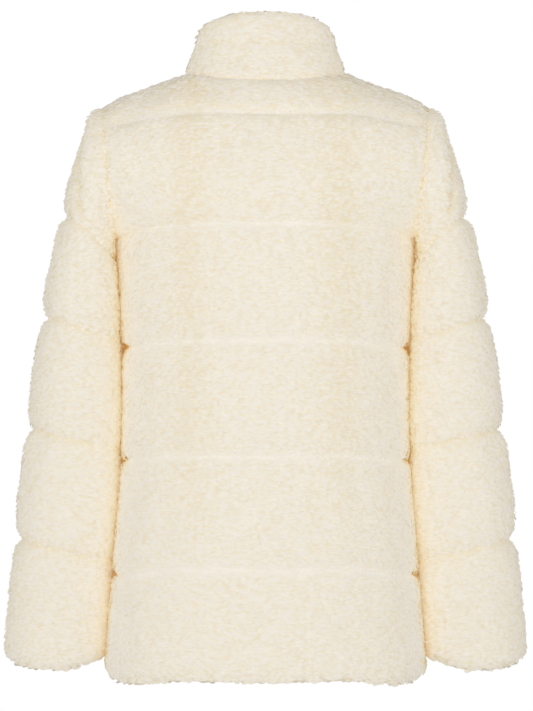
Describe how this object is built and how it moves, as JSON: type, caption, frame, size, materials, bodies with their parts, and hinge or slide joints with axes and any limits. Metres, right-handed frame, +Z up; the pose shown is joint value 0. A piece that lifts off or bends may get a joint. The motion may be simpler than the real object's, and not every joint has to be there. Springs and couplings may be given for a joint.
{
  "type": "sherpa puffer jacket",
  "caption": "Hip-length quilted jacket with a curly pile outside, stand collar and full-length zip, worn shape with no wearer, open at neck, hem and cuffs.",
  "frame": {"origin": "middle of the neck, level with the tops of the shoulders, where the wearer's shoulders hold the jacket up", "axes": "+Z up the wearer's neck, +Y out of the back of the jacket, +X towards the wearer's left sleeve"},
  "size_m": [0.6038, 0.2617, 0.7597],
  "materials": {
    "pile": "curly cream sherpa pile on a knitted backing, quilted over light filling, matt",
    "tape": "woven zip tape, matt",
    "zip_teeth": "meshed zip teeth, satin",
    "zip_metal": "cast zip slider, pull tab and box, satin"
  },
  "bodies": {
    "jacket": {"back": "pile", "front_left": "pile", "front_right": "pile", "sleeve_left": "pile", "sleeve_right": "pile", "collar": "pile", "zip_tape_left": "tape", "zip_tape_right": "tape", "zip_chain": "zip_teeth", "zip_box": "zip_metal", "zip_slider": "zip_metal"},
    "pull_tab": {"zip_pull_tab": "zip_metal"}
  },
  "joints": [
    {"name": "pull_tab_hinge", "type": "hinge", "parent": "jacket", "child": "pull_tab", "pos_m": [0, -0.06788, 0.01535], "axis": [-1, 0, 0], "range_deg": [0, 150]}
  ]
}
